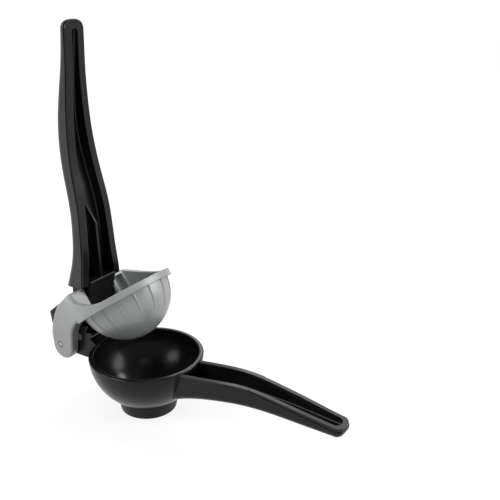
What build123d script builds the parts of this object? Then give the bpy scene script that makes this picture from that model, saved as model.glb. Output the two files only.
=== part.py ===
from build123d import *
from math import atan, cos, pi, radians, sin, sqrt
import os

# Citrus squeezer: a geared lever press, in millimetres, +Z up, standing in its open pose.
# The origin is the centre of the foot's underside. +X points along the lower handle, and the hinge axes
# run along Y.

# Bowl and foot
bowl_radius = 42.0
bowl_wall = 3.5
bowl_lift = 3.3  # underside of the bowl above the ground
rim_drop = 1.2  # rim below the centre of the bowl's sphere
rim_round = 1.0
drain_hole = 3.4
drain_pitch = 5.5  # from one ring of holes to the next
spigot_radius = 17.5
spigot_wall = 2.0
collar_wall = 4.9
collar_draft = 1.8  # the collar's foot is this much smaller in radius than its top
collar_round = 1.2
seat_gap = 0.05

# Hinge, gears and pins
hinge_reach = 25.5  # hinge pin behind the bowl's side
hinge_drop = 3.6  # hinge pin below the bowl's rim
opening = 35.0  # turn of the press cup from closed to open, degrees
carrier_direction = 65.0  # from the hinge pin to the gear pin in the open pose, degrees above +X
gear_module = 2.0
sun_teeth = 27
pinion_teeth = 17
cut_teeth = 5  # teeth that each sector has
pressure_angle = 20.0
tooth_thinning = 0.25
gear_half_width = 13.0
arm_gap = 0.6
pin_radius = 2.4
running_gap = 0.06
hub_radius = 9.0
bridge_depth = 8.6
bridge_rise = 4.0
bridge_top_points = ((26.5, 6.0), (25.0, 7.2))  # from the hinge pin
lug_pin_radius = 3.8
lug_pin_offset = (11.8, 6.8)  # from the hinge pin
shoulder_points = ((-9.0, 0.0), (-14.7, 10.0), (-16.5, 20.6), (-4.6, 30.3))  # open stop, from the hinge pin

# Lower handle stations: distance from the bowl's side, rim above the bowl's rim, depth, half width
lower_stations = (
    (-14.0, -2.3, 24.0, 13.2),
    (8.0, 0.3, 17.7, 13.4),
    (28.0, 3.0, 15.7, 12.9),
    (48.0, 4.5, 14.9, 11.2),
    (68.0, 2.8, 12.6, 10.2),
    (93.0, -0.8, 9.9, 9.3),
    (120.6, -4.7, 7.1, 8.3),
)
lower_rim_width = 3.5
lower_floor = 3.0
lower_corner = 4.0
lower_channel_corner = 2.0
lower_tip_round = 5.0
trim_start = 54.0
trim_start_depth = 0.5
trim_end_depth = 2.8
trim_reveal = 0.4

# Upper handle stations, from the gear pin: height, rim position, depth, half width
upper_stations = (
    (5.6, 9.8, 21.0, 19.6),
    (17.6, 9.6, 16.2, 19.2),
    (29.6, 9.5, 13.6, 17.8),
    (47.6, 8.9, 12.0, 16.5),
    (69.6, 7.4, 12.2, 15.3),
    (91.6, 3.2, 12.6, 14.0),
    (124.6, -0.6, 12.6, 11.5),
    (159.6, 0.0, 9.6, 9.2),
    (196.6, 1.5, 6.8, 8.8),
)
upper_corner = 5.0
upper_tip_round = 6.0
tip_bulge = 1.2  # middle of a handle's end beyond its corners
shell_wall = 2.2
shell_gap = 0.1
lip_depth = 1.5
lip_gap = 0.35
lip_reveal = 0.4
upper_rim_width = 6.0
upper_floor = 2.0
upper_channel_corner = 1.2
shell_base_front = 11.6
shell_base_back = 10.8
frame_base_lift = 1.0
web_thickness = 2.0
web_set_back = 0.2
web_full_height = 56.4
web_end_height = 94.0
web_end_depth = 20.0
block_top = 15.1
block_front_top = 11.1
block_front_low = 8.2
block_low = 2.6
block_back = -8.1
block_edge = 0.7

# Press cup, in its own frame: x forward and z up from the centre of its rim when closed
cup_lift = 9.0  # rim centre above the hinge pin when closed
dome_gap = 5.4  # between the dome and the bowl's inside when closed
dome_wall = 2.5
flange_width = 5.3
flange_front_inset = 4.0
flange_top = 2.0
flange_bottom = -3.0
hood_wall = 3.2
hood_front_inset = 12.4  # front end of the hood behind the front of the flange
hood_peak_offset = (7.9, 6.0)  # peak of the hood from the gear pin
hood_lean = 5.0
ridge_points = ((0.46, 2.5), (0.793, 10.0))  # part of the way from front to peak, height above the flange
arm_half_width = 20.3
arm_blend = 90.0
arm_front_offset = 8.9  # front faces of the arms ahead of the gear pin
arm_crest_offset = (-2.1, 5.7)  # from the gear pin
arm_lobe = 9.9
lobe_offset = (0.9, -2.2)  # centre of the lobe from the hinge pin
arm_top_points = ((16.5, 25.4), (2.3, 17.0), (-3.8, 9.8))  # from the hinge pin
arm_under_points = ((14.5, -1.7), (24.5, 5.2))  # from the hinge pin
arm_under_offset = 3.4  # underside of the arms begins ahead of the gear pin
arm_under = -1.2
arm_round = 1.6
slot_round = 0.6
mouth_chamfer = 1.4
arm_plate = 2.6  # inner plate of each arm, beside the slot
pocket_depth = 5.5
pocket_roof = 2.6
pocket_wall = 3.0
plate_groove = 1.5
plate_groove_depth = 2.4
gear_pin_cover = 0.3  # arm left over the blind end of the gear pin
gear_pin_reach = 2.2  # far end of the gear pin past the inner arm width
rib_count = 16
rib_width = 1.1
rib_height = 0.8

# Values that follow from these
bowl_inner = bowl_radius - bowl_wall
bowl_centre_height = bowl_lift + bowl_radius
rim_height = bowl_centre_height - rim_drop
hinge_back = bowl_radius + hinge_reach
hinge_x = -hinge_back
hinge_height = rim_height - hinge_drop
sun_radius = gear_module * sun_teeth / 2
pinion_radius = gear_module * pinion_teeth / 2
centre_distance = sun_radius + pinion_radius
gear_pin_x = hinge_x + centre_distance * cos(radians(carrier_direction))
gear_pin_z = hinge_height + centre_distance * sin(radians(carrier_direction))
slot_half_width = gear_half_width + arm_gap
lower_tip = lower_stations[-1][0]
dome_radius = bowl_inner - dome_gap
flange_radius = dome_radius + flange_width
flange_front_radius = flange_radius - flange_front_inset
closed_direction = radians(carrier_direction - opening)
cup_pin_x = hinge_x + centre_distance * cos(closed_direction)
cup_pin_z = centre_distance * sin(closed_direction) - cup_lift
arm_front = cup_pin_x + arm_front_offset
gear_pin_near_end = arm_half_width - gear_pin_cover
gear_pin_far_end = arm_half_width + gear_pin_reach

# Frames
tilt_cos, tilt_sin = cos(radians(opening)), sin(radians(opening))
cup_x_dir = (tilt_cos, 0, tilt_sin)
cup_axis_dir = (-tilt_sin, 0, tilt_cos)
cup_origin = (
    hinge_x + hinge_back * tilt_cos - cup_lift * tilt_sin,
    0,
    hinge_height + hinge_back * tilt_sin + cup_lift * tilt_cos,
)
hinge_plane = Plane(origin=(hinge_x, 0, hinge_height), x_dir=(1, 0, 0), z_dir=(0, -1, 0))
gear_pin_plane = Plane(origin=(gear_pin_x, 0, gear_pin_z), x_dir=(1, 0, 0), z_dir=(0, -1, 0))
cup_plan = Plane(origin=cup_origin, x_dir=cup_x_dir, z_dir=cup_axis_dir)
cup_side = Plane(origin=cup_origin, x_dir=cup_x_dir, z_dir=(0, -1, 0))
cup_axis = Axis(cup_origin, cup_axis_dir)


def polar(radius, angle):
    return (radius * cos(radians(angle)), radius * sin(radians(angle)))


def gear_tooth(teeth):
    """One involute tooth that points along local X, with its foot sunk below the root circle."""
    pitch = gear_module * teeth / 2
    base = pitch * cos(radians(pressure_angle))
    tip = pitch + gear_module
    root = pitch - 1.25 * gear_module

    def involute(radius):
        roll = sqrt((radius / base) ** 2 - 1)
        return roll - atan(roll)

    def flank(radius):
        half = pi / (2 * teeth) - tooth_thinning / (2 * pitch) + involute(pitch) - involute(radius)
        return (radius * cos(half), radius * sin(half))

    right = [flank(base + (tip - base) * step / 3) for step in range(4)]
    left = [(x, -y) for x, y in right]
    foot_x = 0.9 * root
    foot_y = right[0][1] * foot_x / right[0][0]
    with BuildSketch() as tooth:
        with BuildLine():
            Line((foot_x, foot_y), right[0])
            Spline(*right)
            ThreePointArc(right[-1], (tip, 0), left[-1])
            Spline(*reversed(left))
            Polyline(left[0], (foot_x, -foot_y), (foot_x, foot_y))
        make_face()
    return tooth.sketch


def handle_body(handle, inset=0.0, floor=0.0, corner=0.0, proud=0.0, slab=None):
    """A handle drawn in by inset at its sides and tip and by floor at its back, or a slab at its rim."""
    stations, side, plan, tip_round = handle
    tip, _, _, half_tip = stations[-1]
    edge = [(place, half - inset) for place, _, _, half in stations[:-1]]
    edge.append((tip - inset - tip_bulge, half_tip - inset))
    room = 4 * bowl_radius
    with BuildPart() as body:
        with BuildSketch(side.offset(-room)):
            with BuildLine():
                rim_line = Spline(*[(place, rim + proud) for place, rim, _, _ in stations])
                depths = [slab or depth - floor for _, _, depth, _ in stations]
                back_line = Spline(*[(row[0], row[1] - depth) for row, depth in zip(stations, depths)])
                Line(rim_line @ 0, back_line @ 0)
                Line(rim_line @ 1, back_line @ 1)
            make_face()
        extrude(amount=2 * room)
        with BuildSketch(plan.offset(-room)) as outline:
            with BuildLine():
                leaving = (edge[1][0] - edge[0][0], edge[1][1] - edge[0][1])
                left = Spline(*edge, tangents=[leaving, (1, 0)])
                right = mirror(left, Plane.XZ)
                ThreePointArc(left @ 1, (tip - inset, 0), right @ 1)
                Line(left @ 0, right @ 0)
            make_face()
            fillet(outline.vertices().sort_by(Axis.X)[-2:], min(tip_round, 0.8 * (half_tip - inset)))
        extrude(amount=2 * room, mode=Mode.INTERSECT)
        if corner:
            long_edges = body.edges().sort_by(SortBy.LENGTH)[-4:]
            fillet(long_edges.sort_by(Axis((0, 0, 0), side.y_dir))[:2], corner)
    return body.part


def prism(plane, points, half_width):
    """A polygon drawn on a plane and extruded to both sides of it."""
    with BuildPart() as body:
        with BuildSketch(plane):
            with BuildLine():
                Polyline(*points, close=True)
            make_face()
        extrude(amount=half_width, both=True)
    return body.part


def sector(radius, start, end):
    """A slice of a disc between two angles."""
    with BuildSketch() as slice_of_disc:
        with BuildLine():
            CenterArc((0, 0), radius, start, end - start)
            Polyline(polar(radius, end), (0, 0), polar(radius, start))
        make_face()
    return slice_of_disc.sketch


lower_place = {"origin": (bowl_radius, 0, rim_height), "x_dir": (1, 0, 0)}
lower_side = Plane(**lower_place, z_dir=(0, -1, 0))
lower_handle = (lower_stations, lower_side, Plane(**lower_place, z_dir=(0, 0, 1)), lower_tip_round)
upper_place = {"origin": (gear_pin_x, 0, gear_pin_z), "x_dir": (0, 0, 1)}
upper_side = Plane(**upper_place, z_dir=(0, 1, 0))
upper_handle = (upper_stations, upper_side, Plane(**upper_place, z_dir=(1, 0, 0)), upper_tip_round)


# Rim strip that is set into the lower handle from trim_start to its tip
def rim_at(stations, place):
    """Rim position between two stations."""
    for (first, low, _, _), (second, high, _, _) in zip(stations, stations[1:]):
        if first <= place <= second:
            return low + (high - low) * (place - first) / (second - first)


trim_seat = [
    (trim_start, rim_at(lower_stations, trim_start) - trim_start_depth),
    (lower_tip + trim_end_depth, lower_stations[-1][1] - trim_end_depth),
    (lower_tip + trim_end_depth, bowl_radius),
    (trim_start, bowl_radius),
]
lower_channel = handle_body(lower_handle, lower_rim_width, lower_floor, lower_channel_corner, bowl_wall)

with BuildPart() as lower_trim:
    add(handle_body(lower_handle, inset=trim_reveal))
    add(lower_channel, mode=Mode.SUBTRACT)
    add(prism(lower_side, trim_seat, bowl_radius), mode=Mode.INTERSECT)
lower_trim.part.label = "lower_trim"

# Lug profile, drawn from the hinge pin: bridge to the bowl, fixed gear sector, open-stop shoulder behind it
sun_root = sun_radius - 1.25 * gear_module
sun_pitch_angle = 360 / sun_teeth
sun_first = carrier_direction - 3 * sun_pitch_angle
sun_last = sun_first + (cut_teeth - 1) * sun_pitch_angle
sun_back = carrier_direction + opening - sun_pitch_angle / 3
bridge_end = hinge_reach + bowl_wall + rim_round
shoulder = ((0, 0), *shoulder_points, polar(sun_root, sun_back))
bridge = (
    (0, -bridge_depth),
    (bridge_end, -bridge_depth),
    (bridge_end, bridge_rise),
    *bridge_top_points,
    polar(sun_root - bridge_rise, sun_first),
    (0, 0),
)
with BuildSketch(hinge_plane) as lug_profile:
    Circle(hub_radius)
    add(sector(sun_root, sun_first - sun_pitch_angle, sun_back))
    for outline in (shoulder, bridge):
        with BuildLine():
            Polyline(*outline, close=True)
        make_face()
    with PolarLocations(0, cut_teeth, sun_first, sun_last - sun_first, endpoint=True):
        add(gear_tooth(sun_teeth))

with BuildPart() as lower_body:
    with BuildSketch(Plane.XZ) as bowl_section:
        with Locations((0, bowl_centre_height)):
            Circle(bowl_radius)
            Circle(bowl_inner, mode=Mode.SUBTRACT)
        with Locations((0, rim_height)):
            Rectangle(2 * bowl_radius, 2 * bowl_radius, align=(Align.MIN, Align.MAX), mode=Mode.INTERSECT)
        fillet(bowl_section.vertices().group_by(Axis.Y)[-1], rim_round)
    revolve(axis=Axis.Z)
    with BuildSketch(Plane.XY.offset(bowl_lift)):
        Circle(spigot_radius)
        Circle(spigot_radius - spigot_wall, mode=Mode.SUBTRACT)
    extrude(amount=bowl_radius - sqrt(bowl_radius**2 - spigot_radius**2) + bowl_wall / 2)
    handle = handle_body(lower_handle, corner=lower_corner) - lower_channel
    add(handle - prism(lower_side, trim_seat, bowl_radius))
    extrude(lug_profile.sketch, amount=gear_half_width, both=True)
    with Locations((0, 0, bowl_centre_height)):
        Sphere(bowl_inner, mode=Mode.SUBTRACT)
    Cylinder(drain_hole / 2, bowl_radius, mode=Mode.SUBTRACT)
    drain_rings = int((spigot_radius - spigot_wall - drain_hole / 2) // drain_pitch)
    for ring in range(1, drain_rings + 1):
        with PolarLocations(ring * drain_pitch, 6 * ring):
            Cylinder(drain_hole / 2, bowl_radius, mode=Mode.SUBTRACT)
    with Locations(hinge_plane):
        Cylinder(pin_radius + running_gap, 4 * gear_half_width, mode=Mode.SUBTRACT)
        with Locations(lug_pin_offset):
            Cylinder(lug_pin_radius, 4 * gear_half_width, mode=Mode.SUBTRACT)
lower_body.part.label = "lower_body"

# Foot ring pressed over the spigot, with its top dished to the bowl
with BuildPart() as foot_collar:
    with BuildSketch(Plane.XZ) as ring_section:
        with BuildLine():
            bore = spigot_radius + seat_gap
            collar_top_radius = spigot_radius + collar_wall
            collar_foot_radius = collar_top_radius - collar_draft
            collar_top = bowl_centre_height - sqrt(bowl_radius**2 - collar_top_radius**2)
            Polyline(
                (bore, 0),
                (collar_foot_radius, 0),
                (collar_top_radius, collar_top),
                (collar_top_radius, 2 * collar_top),
                (bore, 2 * collar_top),
                close=True,
            )
        make_face()
        fillet(ring_section.vertices().group_by(Axis.Y)[0].sort_by(Axis.X)[-1], collar_round)
        with Locations((0, bowl_centre_height)):
            Circle(bowl_radius + seat_gap, mode=Mode.SUBTRACT)
    revolve(axis=Axis.Z)
foot_collar.part.label = "foot_collar"

# Oblique lower end of the upper handle, as the region below it
base_x = (upper_stations[1][1], upper_stations[1][1] - upper_stations[1][2])
base_slope = (shell_base_back - shell_base_front) / (base_x[1] - base_x[0])


def below_base(lift):
    ends = (base_x[0] + bowl_radius, base_x[1] - bowl_radius)
    line = [(x, shell_base_front + lift + base_slope * (x - base_x[0])) for x in ends]
    return prism(gear_pin_plane, [*line, (ends[1], -gear_pin_z), (ends[0], -gear_pin_z)], 2 * bowl_radius)


# Grip shell over the sides and back of the upper handle
shell_hollow = handle_body(upper_handle, shell_wall, shell_wall, upper_corner - shell_wall, bowl_wall)
lip_clearance = handle_body(upper_handle, -shell_wall, slab=lip_depth + lip_gap, proud=bowl_wall)
with BuildPart() as upper_shell:
    add(handle_body(upper_handle, corner=upper_corner))
    add(shell_hollow, mode=Mode.SUBTRACT)
    add(lip_clearance, mode=Mode.SUBTRACT)
    add(below_base(0), mode=Mode.SUBTRACT)
upper_shell.part.label = "upper_shell"

# Inner frame of the upper handle: rim lip, channel with its web, neck and gear sector
pinion_root = pinion_radius - 1.25 * gear_module
pinion_pitch_angle = 360 / pinion_teeth
pinion_first = carrier_direction + 180 - pinion_pitch_angle / 2
pinion_last = pinion_first + (cut_teeth - 1) * pinion_pitch_angle
frame_inset = shell_wall + shell_gap
pinion_edge = polar(pinion_root, pinion_last)
shell_inside = base_x[1] + shell_wall + frame_base_lift
block_slope = (block_front_top - block_front_low) / (block_top - block_low)
neck_outline = [
    (block_front_top - block_edge, block_top),
    (block_front_top - block_slope * block_edge, block_top - block_edge),
    (block_front_low, block_low),
    polar(pinion_root, pinion_last),
    (0, 0),
    (block_back, block_back),
    (block_back, shell_base_back - frame_base_lift),
    (shell_inside, shell_base_back - frame_base_lift / 2),
    (shell_inside, block_top),
]
with BuildSketch(gear_pin_plane) as pinion_profile:
    add(sector(pinion_root, pinion_first - 9, pinion_last + 6))
    with PolarLocations(0, cut_teeth, pinion_first, pinion_last - pinion_first, endpoint=True):
        add(gear_tooth(pinion_teeth))
web_foot = block_top - web_thickness
web_outline = [
    (rim_at(upper_stations, web_foot) - web_set_back, web_foot),
    (rim_at(upper_stations, web_full_height) - web_set_back, web_full_height),
    (rim_at(upper_stations, web_end_height) - web_end_depth, web_end_height),
    (base_x[1], web_foot),
]
frame_blank = handle_body(upper_handle, frame_inset, frame_inset, upper_corner - frame_inset)
channel_floor = frame_inset + upper_floor
upper_channel = handle_body(upper_handle, upper_rim_width, channel_floor, upper_channel_corner, bowl_wall)
far = 2 * upper_stations[-1][0]
over_block = [(far, block_top), (-far, block_top), (-far, far), (far, far)]
above_block = prism(gear_pin_plane, over_block, bowl_radius)

with BuildPart() as upper_lever:
    add(frame_blank)
    add(handle_body(upper_handle, lip_reveal, slab=lip_depth))
    add(below_base(frame_base_lift), mode=Mode.SUBTRACT)
    add(prism(gear_pin_plane, neck_outline, gear_half_width))
    add(upper_channel & above_block, mode=Mode.SUBTRACT)
    add(prism(gear_pin_plane, web_outline, web_thickness / 2) & frame_blank)
    extrude(pinion_profile.sketch, amount=gear_half_width, both=True)
    with Locations(gear_pin_plane):
        Cylinder(pin_radius + running_gap, 4 * gear_half_width, mode=Mode.SUBTRACT)
upper_lever.part.label = "upper_lever"

# Hood and hinge arms of the press cup: a side outline crossed with a plan that leans in above the flange
peak = (cup_pin_x + hood_peak_offset[0], cup_pin_z + hood_peak_offset[1])
crest = (cup_pin_x + arm_crest_offset[0], cup_pin_z + arm_crest_offset[1])
hood_front = flange_front_radius - hood_front_inset
ridge = [(hood_front + part * (peak[0] - hood_front), flange_top + rise) for part, rise in ridge_points]
lobe_centre = (hinge_x + lobe_offset[0], -cup_lift + lobe_offset[1])
arm_top = [(hinge_x + along, -cup_lift + up) for along, up in arm_top_points]
arm_belly = [(hinge_x + along, -cup_lift + up) for along, up in arm_under_points]
under_end = (cup_pin_x + arm_under_offset, arm_under)


def on_lobe(angle):
    along, up = polar(arm_lobe, angle)
    return (lobe_centre[0] + along, lobe_centre[1] + up)


with BuildSketch() as flange_plan:
    Ellipse(flange_front_radius, flange_radius)
    Rectangle(2 * bowl_radius, 2 * bowl_radius, align=(Align.MIN, Align.CENTER), mode=Mode.INTERSECT)
    with BuildSketch(mode=Mode.ADD):
        Circle(flange_radius)
        Rectangle(2 * bowl_radius, 2 * bowl_radius, align=(Align.MAX, Align.CENTER), mode=Mode.INTERSECT)

with BuildSketch() as arm_plan:
    add(flange_plan.sketch)
    with Locations((arm_front, 0)):
        Rectangle(2 * hinge_back, 2 * arm_half_width, align=(Align.MAX, Align.CENTER))
    joints = arm_plan.vertices().filter_by_position(Axis.X, -flange_radius, arm_front - 1)
    fillet(joints, arm_blend)

with BuildPart() as hood_hollow:
    with BuildSketch(cup_plan.offset(flange_top)):
        Circle(flange_radius - hood_wall)
    extrude(amount=bowl_radius, taper=hood_lean)
    with BuildSketch(cup_plan.offset(flange_top)):
        with Locations((arm_front, 0)):
            Rectangle(2 * bowl_radius, 2 * bowl_radius, align=(Align.MIN, Align.CENTER))
    extrude(amount=bowl_radius, mode=Mode.INTERSECT)

with BuildPart() as arms:
    extrude(cup_plan.offset(flange_top) * arm_plan.sketch, amount=bowl_radius, taper=hood_lean)
    extrude(cup_plan.offset(flange_top) * arm_plan.sketch, amount=-bowl_radius)
    with BuildSketch(cup_side):
        with BuildLine():
            Spline((hood_front, flange_top), *ridge, peak)
            Spline(peak, crest, *arm_top, on_lobe(150), tangents=[(-1, -0.05), polar(1, 240)])
            ThreePointArc(on_lobe(150), on_lobe(235), on_lobe(320))
            Spline(on_lobe(320), *arm_belly, under_end, tangents=[polar(1, 50), (1, 0.15)])
            Polyline(under_end, (under_end[0], flange_bottom), (hood_front, flange_bottom))
            Line((hood_front, flange_bottom), (hood_front, flange_top))
        make_face()
    extrude(amount=2 * bowl_radius, both=True, mode=Mode.INTERSECT)
    add(hood_hollow.part, mode=Mode.SUBTRACT)
    with BuildSketch(cup_plan.offset(-bowl_radius)):
        Circle(dome_radius - dome_wall)
        with Locations((arm_front, 0)):
            Rectangle(2 * bowl_radius, 2 * bowl_radius, align=(Align.MIN, Align.CENTER), mode=Mode.INTERSECT)
    extrude(amount=bowl_radius + flange_top, mode=Mode.SUBTRACT)
    with BuildSketch(cup_plan.offset(-bowl_radius)):
        with BuildLine():
            mouth = slot_half_width + mouth_chamfer
            throat = arm_front - mouth_chamfer
            near_side = [(arm_front + 1, mouth), (arm_front, mouth), (throat, slot_half_width)]
            far_side = [(x, -y) for x, y in reversed(near_side)]
            back = 2 * hinge_back
            Polyline(*near_side, (-back, slot_half_width), (-back, -slot_half_width), *far_side, close=True)
        make_face()
    extrude(amount=2 * bowl_radius, mode=Mode.SUBTRACT)

# Pocket in the front of each arm, and the groove that sets its inner plate apart from its roof
plate_side = slot_half_width + arm_plate
pocket_side = sqrt((flange_radius - hood_wall) ** 2 - arm_front**2) - pocket_wall
with BuildPart() as arm_cuts:
    with BuildSketch(cup_plan.offset(flange_top)) as pocket_plan:
        with Locations((arm_front - pocket_depth, plate_side)):
            Rectangle(2 * pocket_depth, pocket_side - plate_side, align=(Align.MIN, Align.MIN))
        mirror(pocket_plan.sketch, Plane.XZ)
    extrude(amount=peak[1] - pocket_roof - flange_top)
    with BuildSketch(cup_plan.offset(peak[1] - plate_groove_depth)) as groove_plan:
        with Locations((arm_front - mouth_chamfer, plate_side)):
            Rectangle(hinge_back, plate_groove, align=(Align.MAX, Align.MIN))
        mirror(groove_plan.sketch, Plane.XZ)
    extrude(amount=bowl_radius)

# One meridian rib, which fades where its outer arc runs into the dome
rib_rise = 1.5 * rib_height
with BuildPart() as rib:
    with BuildSketch(cup_side):
        with Locations((0, rib_rise)):
            Circle(dome_radius + rib_height)
        Circle(dome_radius - dome_wall / 2, mode=Mode.SUBTRACT)
        with Locations((0, flange_bottom + 0.5)):
            Rectangle(2 * bowl_radius, 2 * bowl_radius, align=(Align.MIN, Align.MAX), mode=Mode.INTERSECT)
    extrude(amount=rib_width / 2, both=True)

with BuildPart() as press_cup:
    with BuildSketch(cup_side):
        Circle(dome_radius)
        Rectangle(2 * bowl_radius, 2 * bowl_radius, align=(Align.MIN, Align.MAX), mode=Mode.INTERSECT)
    revolve(axis=cup_axis)
    extrude(cup_plan.offset(flange_bottom) * flange_plan.sketch, amount=flange_top - flange_bottom)
    for turn in range(rib_count):
        add(rib.part.rotate(cup_axis, (turn + 0.5) * 360 / rib_count))
    with BuildSketch(cup_side):
        dome_inner = dome_radius - dome_wall
        Circle(dome_inner)
        Rectangle(2 * bowl_radius, bowl_radius, align=(Align.CENTER, Align.MIN))
        Rectangle(dome_inner, 4 * bowl_radius, align=(Align.MIN, Align.CENTER), mode=Mode.INTERSECT)
    revolve(axis=cup_axis, mode=Mode.SUBTRACT)
    with BuildSketch(cup_plan.offset(flange_bottom - 1)):
        with Locations((under_end[0], 0)):
            Rectangle(bowl_radius, 2 * bowl_radius, align=(Align.MAX, Align.CENTER))
        Circle(dome_radius, mode=Mode.SUBTRACT)
    extrude(amount=arm_under - flange_bottom + 1, mode=Mode.SUBTRACT)
    with BuildSketch(cup_plan.offset(flange_bottom - 1)):
        with Locations((-dome_radius - running_gap, 0)):
            Rectangle(bowl_radius, 2 * slot_half_width, align=(Align.MAX, Align.CENTER))
    extrude(amount=bowl_radius, mode=Mode.SUBTRACT)
    with Locations(gear_pin_plane):
        Cylinder(pinion_radius + gear_module + arm_gap, 2 * slot_half_width, mode=Mode.SUBTRACT)
    add(arms.part)
    add(arm_cuts.part, mode=Mode.SUBTRACT)
    with Locations(hinge_plane):
        Cylinder(pin_radius, 4 * bowl_radius, mode=Mode.SUBTRACT)
    with BuildSketch(gear_pin_plane.offset(gear_pin_near_end)):
        Circle(pin_radius)
    extrude(amount=-4 * bowl_radius, mode=Mode.SUBTRACT)
    arm_edges = press_cup.edges().filter_by(GeomType.BSPLINE)
    arm_edges = arm_edges.filter_by_position(Axis(cup_origin, cup_x_dir), -2 * hinge_back, arm_front)
    arm_edges = arm_edges.filter_by(lambda edge: edge.length > hinge_reach)
    fillet(arm_edges.filter_by(lambda edge: abs(edge.center().Y) > arm_half_width), arm_round)
    slot_reach = slot_half_width + seat_gap
    slot_edges = press_cup.edges().filter_by(GeomType.BSPLINE)
    slot_edges = slot_edges.filter_by_position(Axis.Y, -slot_reach, slot_reach)
    fillet(slot_edges.filter_by(lambda edge: edge.length > 2 * hinge_reach), slot_round)
press_cup.part.label = "press_cup"

# Steel pins
with BuildPart() as hinge_pin:
    with BuildSketch(hinge_plane):
        Circle(pin_radius)
    extrude(amount=arm_half_width, both=True)
hinge_pin.part.label = "hinge_pin"

with BuildPart() as gear_pin:
    with BuildSketch(gear_pin_plane.offset(gear_pin_near_end)):
        Circle(pin_radius)
    extrude(amount=-gear_pin_near_end - gear_pin_far_end)
gear_pin.part.label = "gear_pin"

with BuildPart() as lug_pin:
    with BuildSketch(hinge_plane):
        with Locations(lug_pin_offset):
            Circle(lug_pin_radius)
    extrude(amount=gear_half_width, both=True)
lug_pin.part.label = "lug_pin"

os.makedirs("parts", exist_ok=True)
lower_pieces = (lower_body, lower_trim, foot_collar, lug_pin)
press_pieces = (press_cup, hinge_pin, gear_pin)
lever_pieces = (upper_lever, upper_shell)
for piece in lower_pieces + press_pieces + lever_pieces:
    export_step(piece.part, f"parts/{piece.part.label}.step")
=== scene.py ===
from math import radians

import bpy
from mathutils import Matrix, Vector


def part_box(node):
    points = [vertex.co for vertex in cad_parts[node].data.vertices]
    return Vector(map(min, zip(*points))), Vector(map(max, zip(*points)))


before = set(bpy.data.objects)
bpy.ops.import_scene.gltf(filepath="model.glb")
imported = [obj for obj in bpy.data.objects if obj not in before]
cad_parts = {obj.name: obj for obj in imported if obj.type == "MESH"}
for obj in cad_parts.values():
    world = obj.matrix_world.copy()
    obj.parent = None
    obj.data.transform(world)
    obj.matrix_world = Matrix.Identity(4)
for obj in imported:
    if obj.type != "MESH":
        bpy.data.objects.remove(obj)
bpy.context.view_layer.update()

scene = bpy.context.scene
scene.view_settings.view_transform = "Standard"

# Camera, where the photograph was taken from: metres, and degrees round the object and above the horizon
CAMERA_PLACE = (0.3318, -0.3755, 0.3109)
CAMERA_AZIMUTH = 32.74
CAMERA_ELEVATION = 20.65
CAMERA_LENS_MM = 54.7
CAMERA_SENSOR_MM = 36.0
CAMERA_NEAREST = 0.01

# Floor: a pale square that also glows for the camera and in reflections, so that it shows as white
FLOOR_HALF = 2.0
FLOOR_GREY = 0.3
FLOOR_GLOW = 0.76
FLOOR_ROUGHNESS = 0.9
FLOOR_SPECULAR = 0.1

# Backdrop: white below the horizon and dimmer above it; a stop is the sine of the elevation and its light
BACKDROP = ((-0.045, 1.0), (0.2, 0.55), (0.9, 0.25))

# Lamps far off: direction, strength, and the angle in degrees that each one fills
LAMPS = {
    "front": ((-0.55, -0.65, 0.52), 1.6, 40),
    "right": ((0.75, 0.5, 0.33), 1.4, 35),
    "top": ((0.38, 0.66, 0.65), 0.6, 14),
    "fill": ((0.35, -0.35, 0.87), 0.5, 30),
    "back": ((-0.4, 0.72, 0.57), 0.6, 30),
}

# Materials: depth of the fine relief in metres, the part of a noise's range that is used, rays per soft edge
RELIEF_DEPTH = 0.0002
NOISE_LOW = 0.3
NOISE_HIGH = 0.7
EDGE_SAMPLES = 6


def grey(level):
    return (level, level, level)


def link(obj):
    scene.collection.objects.link(obj)
    return obj


class NodeTree:
    """Short calls for building a tree of shader nodes."""

    def __init__(self, owner):
        owner.use_nodes = True
        self.nodes = owner.node_tree.nodes
        self.links = owner.node_tree.links

    def node(self, kind, **values):
        """A new node, with each value set on its property or its input of that name."""
        made = self.nodes.new("ShaderNode" + kind)
        for key, value in values.items():
            if hasattr(made, key):
                setattr(made, key, value)
            else:
                made.inputs[key.replace("_", " ")].default_value = value
        return made

    def join(self, out, socket):
        self.links.new(out, socket)

    def span(self, fac, low, high, start=NOISE_LOW, end=NOISE_HIGH):
        """A number that goes from low to high as fac goes from start to end."""
        made = self.node("MapRange", From_Min=start, From_Max=end, To_Min=low, To_Max=high)
        self.join(fac, made.inputs["Value"])
        return made.outputs["Result"]

    def ramp(self, fac, *stops):
        """A colour that passes through the stops, each a value of fac and a colour."""
        made = self.node("ValToRGB")
        elements = made.color_ramp.elements
        while len(elements) < len(stops):
            elements.new(0.5)
        for element, (position, colour) in zip(elements, stops):
            element.position = position
            element.color = (*colour, 1)
        self.join(fac, made.inputs["Fac"])
        return made.outputs["Color"]


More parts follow.
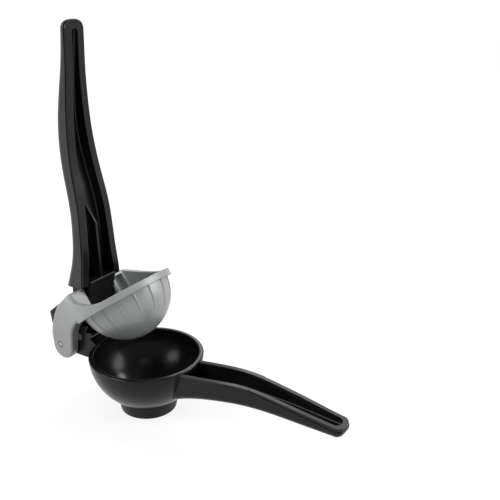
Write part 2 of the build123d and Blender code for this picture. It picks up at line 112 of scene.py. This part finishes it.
class Surface(NodeTree):
    """A material under construction, with the sockets of its shader."""

    def __init__(self, name):
        self.material = bpy.data.materials.new(name)
        super().__init__(self.material)
        self.sockets = self.nodes["Principled BSDF"].inputs

    def feed(self, socket, out):
        self.join(out, self.sockets[socket])

    def fix(self, socket, value):
        self.sockets[socket].default_value = value

    def place(self):
        return self.node("TexCoord").outputs["Object"]

    def noise(self, scale, detail, roughness=0.5):
        """Noise of so many cells to the metre."""
        made = self.node("TexNoise", Scale=scale, Detail=detail, Roughness=roughness)
        self.join(self.place(), made.inputs["Vector"])
        return made.outputs["Fac"]

    def relief(self, height, strength, edge):
        """Fine relief, over edges that are softened by the given radius."""
        soft = self.node("Bevel", samples=EDGE_SAMPLES, Radius=edge)
        bump = self.node("Bump", Strength=strength, Distance=RELIEF_DEPTH)
        self.join(height, bump.inputs["Height"])
        self.join(soft.outputs["Normal"], bump.inputs["Normal"])
        self.feed("Normal", bump.outputs["Normal"])


def moulded_black(name, tone, roughness, specular):
    """Black moulded plastic: faint flow shading, a fine grain and a smooth sheen."""
    made = Surface(name)
    flow = made.noise(scale=38.0, detail=4.0)
    low, high = tone
    made.feed("Base Color", made.ramp(flow, (NOISE_LOW, grey(low)), (NOISE_HIGH, grey(high))))
    sheen = made.noise(scale=90.0, detail=5.0, roughness=0.6)
    made.feed("Roughness", made.span(sheen, *roughness))
    made.fix("Specular IOR Level", specular)
    made.relief(made.noise(scale=1800.0, detail=2.0), strength=0.04, edge=0.0005)
    return made.material


def silver_paint(name):
    """Silver-grey moulding with fine bright flakes and a satin sheen."""
    made = Surface(name)
    flakes = made.noise(scale=2600.0, detail=1.0)
    made.feed("Base Color", made.ramp(flakes, (0.35, (0.29, 0.302, 0.298)), (0.65, (0.38, 0.395, 0.39))))
    made.fix("Metallic", 0.2)
    made.feed("Roughness", made.span(made.noise(scale=140.0, detail=4.0), low=0.34, high=0.42))
    made.relief(made.noise(scale=2200.0, detail=2.0), strength=0.05, edge=0.0009)
    return made.material


def pin_steel(name, pin, painted_shade_ring):
    """Turned steel for a pin along Y, with painted shade: its end darkens over the ring, given in parts of
    the pin's radius, in place of the shade on a chamfered edge.
    """
    made = Surface(name)
    low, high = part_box(pin)
    radius = (high.x - low.x) / 2
    middle = (low + high) / 2
    across = made.node("VectorMath", operation="MULTIPLY")
    across.inputs[1].default_value = (1 / radius, 0, 1 / radius)
    from_axis = made.node("VectorMath", operation="DISTANCE")
    from_axis.inputs[1].default_value = (middle.x / radius, 0, middle.z / radius)
    made.join(made.place(), across.inputs[0])
    made.join(across.outputs["Vector"], from_axis.inputs[0])
    # Painted shade: the colour falls from light to dark across the ring, standing in for the shade on the
    # pin's chamfered edge; the noise below adds random tone.
    clear_of_painted_shade = made.span(from_axis.outputs["Value"], low=1.0, high=0.0, start=painted_shade_ring[0], end=painted_shade_ring[1])
    tone = made.node("Math", operation="MULTIPLY")
    made.join(clear_of_painted_shade, tone.inputs[0])
    made.join(made.span(made.noise(scale=900.0, detail=3.0), low=0.8, high=1.0), tone.inputs[1])
    made.feed("Base Color", made.ramp(tone.outputs["Value"], (0.0, grey(0.03)), (1.0, grey(0.48))))
    made.fix("Metallic", 0.9)
    made.feed("Roughness", made.span(made.noise(scale=600.0, detail=3.0), low=0.3, high=0.42))
    made.relief(made.noise(scale=1500.0, detail=2.0), strength=0.08, edge=0.0003)
    return made.material


def dress_pieces():
    nylon = moulded_black("black_nylon", tone=(0.004, 0.007), roughness=(0.20, 0.27), specular=0.22)
    trim = moulded_black("black_trim", tone=(0.004, 0.007), roughness=(0.20, 0.27), specular=0.28)
    grip = moulded_black("black_grip", tone=(0.018, 0.026), roughness=(0.28, 0.36), specular=0.42)
    foot = moulded_black("foot_black", tone=(0.003, 0.006), roughness=(0.40, 0.52), specular=0.22)
    finishes = {
        "lower_body": nylon,
        "upper_lever": nylon,
        "upper_shell": grip,
        "lower_trim": trim,
        "foot_collar": foot,
        "press_cup": silver_paint("silver_nylon"),
        # Rings of painted shade on the pin ends, in parts of each pin's radius
        "hinge_pin": pin_steel("hinge_steel", "hinge_pin", painted_shade_ring=(0.70, 0.80)),
        "gear_pin": pin_steel("gear_steel", "gear_pin", painted_shade_ring=(0.70, 0.80)),
        "lug_pin": pin_steel("lug_steel", "lug_pin", painted_shade_ring=(0.81, 0.926)),
    }
    for piece, material in finishes.items():
        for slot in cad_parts[piece].material_slots:
            slot.material = material


def add_camera():
    data = bpy.data.cameras.new("camera")
    data.sensor_width = CAMERA_SENSOR_MM
    data.lens = CAMERA_LENS_MM
    data.clip_start = CAMERA_NEAREST
    camera = link(bpy.data.objects.new("camera", data))
    camera.location = CAMERA_PLACE
    camera.rotation_euler = (radians(90 - CAMERA_ELEVATION), 0, radians(CAMERA_AZIMUTH))
    scene.camera = camera


def add_lamp(name, direction, strength, angle):
    """A soft lamp far off in the given direction; its light is the same all over the floor."""
    data = bpy.data.lights.new(name, "SUN")
    data.energy = strength
    data.angle = radians(angle)
    lamp = link(bpy.data.objects.new(name, data))
    lamp.location = direction
    lamp.rotation_euler = Vector(direction).to_track_quat("Z", "Y").to_euler()


def seen_directly(tree):
    """1 for camera, glossy and transmission rays, so that reflections show the white background too."""
    path = tree.node("LightPath")
    seen = path.outputs["Is Camera Ray"]
    for other in ("Is Glossy Ray", "Is Transmission Ray"):
        larger = tree.node("Math", operation="MAXIMUM")
        tree.join(seen, larger.inputs[0])
        tree.join(path.outputs[other], larger.inputs[1])
        seen = larger.outputs["Value"]
    return seen


def add_floor():
    """Pale floor that shows as white and still takes the object's shadow."""
    signs = ((-1, -1), (1, -1), (1, 1), (-1, 1))
    corners = [(x * FLOOR_HALF, y * FLOOR_HALF, 0) for x, y in signs]
    mesh = bpy.data.meshes.new("floor")
    mesh.from_pydata(corners, [], [range(len(corners))])
    floor = link(bpy.data.objects.new("floor", mesh))
    made = Surface("floor")
    made.fix("Base Color", (*grey(FLOOR_GREY), 1))
    made.fix("Roughness", FLOOR_ROUGHNESS)
    made.fix("Specular IOR Level", FLOOR_SPECULAR)
    made.fix("Emission Color", (*grey(1), 1))
    glow = made.span(seen_directly(made), low=0.0, high=FLOOR_GLOW, start=0.0, end=1.0)
    made.feed("Emission Strength", glow)
    mesh.materials.append(made.material)


def add_backdrop():
    """Studio backdrop that fades with elevation."""
    scene.world = bpy.data.worlds.new("studio")
    tree = NodeTree(scene.world)
    split = tree.node("SeparateXYZ")
    tree.join(tree.node("TexCoord").outputs["Generated"], split.inputs["Vector"])
    height = tree.span(split.outputs["Z"], low=0.0, high=1.0, start=-1.0, end=1.0)
    fade = tree.ramp(height, *(((sine + 1) / 2, grey(light)) for sine, light in BACKDROP))
    tree.join(fade, tree.nodes["Background"].inputs["Color"])


add_camera()
dress_pieces()
add_floor()
add_backdrop()
for lamp, settings in LAMPS.items():
    add_lamp(lamp, *settings)
